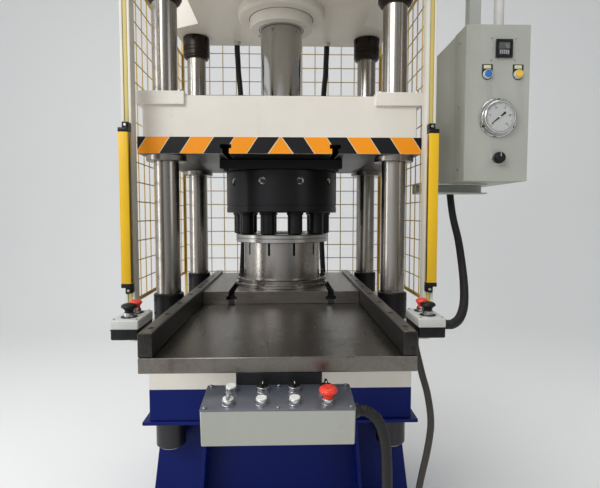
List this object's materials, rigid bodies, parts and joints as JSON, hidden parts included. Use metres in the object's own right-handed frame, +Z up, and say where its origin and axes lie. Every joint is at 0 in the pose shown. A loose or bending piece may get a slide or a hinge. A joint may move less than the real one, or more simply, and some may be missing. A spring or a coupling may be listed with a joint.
{
  "type": "hydraulic press",
  "caption": "Four-column hydraulic press with a feed table, a round die set, light curtains, wire guards, a sloping operator console and a side cabinet.",
  "frame": {"origin": "middle of the footprint at floor level, cords left out", "axes": "+Z up, -Y the operator's side where the feed table reaches out, +X the operator's right"},
  "size_m": [1.402, 1.446, 2.715],
  "materials": {
    "cream_paint": "satin",
    "blue_paint": "satin",
    "hard_chrome": "polished",
    "blackened_steel": "blackened",
    "ground_steel": "ground, oiled",
    "oiled_steel": "oiled",
    "turned_steel": "turned",
    "grey_paint": "satin",
    "yellow_paint": "satin",
    "brushed_lid": "brushed",
    "black_plastic": "matte",
    "red_plastic": "gloss",
    "white_plastic": "gloss",
    "blue_plastic": "gloss",
    "cable_rubber": "matte"
  },
  "bodies": {
    "frame": {"base_frame": "blue_paint", "bed_beam": "cream_paint", "bed_cover": "black_plastic", "column_front_left": "hard_chrome", "column_front_right": "hard_chrome", "column_back_left": "hard_chrome", "column_back_right": "hard_chrome", "lock_nut_front_left": "blackened_steel", "lock_nut_front_right": "blackened_steel", "lock_nut_back_left": "blackened_steel", "lock_nut_back_right": "blackened_steel", "table_plate": "ground_steel", "rail_left": "oiled_steel", "rail_right": "oiled_steel", "bolster": "ground_steel", "lower_die": "turned_steel", "die_ring": "turned_steel", "crown": "cream_paint", "main_cylinder": "cream_paint", "curtain_post_left": "cream_paint", "curtain_post_right": "cream_paint", "curtain_bar_left": "yellow_paint", "curtain_bar_right": "yellow_paint", "side_guard_left": "yellow_paint", "side_guard_right": "yellow_paint", "back_guard": "yellow_paint", "console_box": "grey_paint", "console_lid": "brushed_lid", "hand_box_left": "white_plastic", "hand_box_right": "white_plastic", "cabinet_body": "grey_paint", "cabinet_arm": "grey_paint", "cabinet_shelf": "grey_paint", "cabinet_conduit": "cable_rubber", "console_conduit": "cable_rubber", "hand_cable": "cable_rubber", "cabinet_riser": "white_plastic", "back_hose_left": "cable_rubber", "back_hose_right": "cable_rubber"},
    "slide_beam": {"slide": "cream_paint", "piston_rod": "hard_chrome", "upper_plate": "blackened_steel", "upper_tool": "blackened_steel"},
    "door": {"cabinet_door": "grey_paint", "pressure_gauge": "hard_chrome"},
    "mode_selector": {"mode_selector": "white_plastic"},
    "up_button": {"up_button": "white_plastic"},
    "down_button": {"down_button": "white_plastic"},
    "console_stop": {"console_stop": "red_plastic"},
    "start_button": {"start_button": "white_plastic"},
    "pump_selector": {"pump_selector": "black_plastic"},
    "ejector_selector": {"ejector_selector": "black_plastic"},
    "key_selector": {"key_selector": "black_plastic"},
    "palm_button_left": {"palm_button_left": "black_plastic"},
    "hand_stop_left": {"hand_stop_left": "red_plastic"},
    "palm_button_right": {"palm_button_right": "black_plastic"},
    "hand_stop_right": {"hand_stop_right": "red_plastic"},
    "lamp_button_blue": {"lamp_button_blue": "blue_plastic"},
    "lamp_button_yellow": {"lamp_button_yellow": "yellow_paint"},
    "dial_knob": {"dial_knob": "black_plastic"}
  },
  "joints": [
    {"name": "slide_stroke", "type": "slide", "parent": "frame", "child": "slide_beam", "axis": [0, 0, 1], "range_m": [0, 0.25]},
    {"name": "door_swing", "type": "hinge", "parent": "frame", "child": "door", "pos_m": [0.695, 0.02725, 1.58], "axis": [0, 0, 1], "range_deg": [0, 110]},
    {"name": "mode_selector_turn", "type": "hinge", "parent": "frame", "child": "mode_selector", "pos_m": [-0.269, -0.69618, 0.79303], "axis": [0, -0.1167, 0.9932], "range_deg": [-45, 45]},
    {"name": "up_button_push", "type": "slide", "parent": "frame", "child": "up_button", "axis": [0, 0.1167, -0.9932], "range_m": [0, 0.004], "stiffness_N_per_m": 400, "springref_m": -0.005},
    {"name": "down_button_push", "type": "slide", "parent": "frame", "child": "down_button", "axis": [0, 0.1167, -0.9932], "range_m": [0, 0.004], "stiffness_N_per_m": 400, "springref_m": -0.005},
    {"name": "console_stop_push", "type": "slide", "parent": "frame", "child": "console_stop", "axis": [0, 0.1167, -0.9932], "range_m": [0, 0.004], "stiffness_N_per_m": 400, "springref_m": -0.005},
    {"name": "start_button_push", "type": "slide", "parent": "frame", "child": "start_button", "axis": [0, 0.1167, -0.9932], "range_m": [0, 0.004], "stiffness_N_per_m": 400, "springref_m": -0.005},
    {"name": "pump_selector_turn", "type": "hinge", "parent": "frame", "child": "pump_selector", "pos_m": [-0.197, -0.64056, 0.79957], "axis": [0, -0.1167, 0.9932], "range_deg": [-45, 45]},
    {"name": "ejector_selector_turn", "type": "hinge", "parent": "frame", "child": "ejector_selector", "pos_m": [-0.125, -0.64056, 0.79957], "axis": [0, -0.1167, 0.9932], "range_deg": [-45, 45]},
    {"name": "key_selector_turn", "type": "hinge", "parent": "frame", "child": "key_selector", "pos_m": [-0.053, -0.64056, 0.79957], "axis": [0, -0.1167, 0.9932], "range_deg": [-45, 45]},
    {"name": "palm_button_left_push", "type": "slide", "parent": "frame", "child": "palm_button_left", "axis": [0, 0, -1], "range_m": [0, 0.004], "stiffness_N_per_m": 400, "springref_m": -0.005},
    {"name": "hand_stop_left_push", "type": "slide", "parent": "frame", "child": "hand_stop_left", "axis": [0, 0, -1], "range_m": [0, 0.004], "stiffness_N_per_m": 400, "springref_m": -0.005},
    {"name": "palm_button_right_push", "type": "slide", "parent": "frame", "child": "palm_button_right", "axis": [0, 0, -1], "range_m": [0, 0.004], "stiffness_N_per_m": 400, "springref_m": -0.005},
    {"name": "hand_stop_right_push", "type": "slide", "parent": "frame", "child": "hand_stop_right", "axis": [0, 0, -1], "range_m": [0, 0.004], "stiffness_N_per_m": 400, "springref_m": -0.005},
    {"name": "lamp_button_blue_push", "type": "slide", "parent": "door", "child": "lamp_button_blue", "axis": [0, 1, 0], "range_m": [0, 0.004], "stiffness_N_per_m": 400, "springref_m": -0.005},
    {"name": "lamp_button_yellow_push", "type": "slide", "parent": "door", "child": "lamp_button_yellow", "axis": [0, 1, 0], "range_m": [0, 0.004], "stiffness_N_per_m": 400, "springref_m": -0.005},
    {"name": "dial_knob_turn", "type": "hinge", "parent": "door", "child": "dial_knob", "pos_m": [0.583, -0.0815, 1.395], "axis": [0, -1, 0], "range_deg": [-135, 135]}
  ]
}
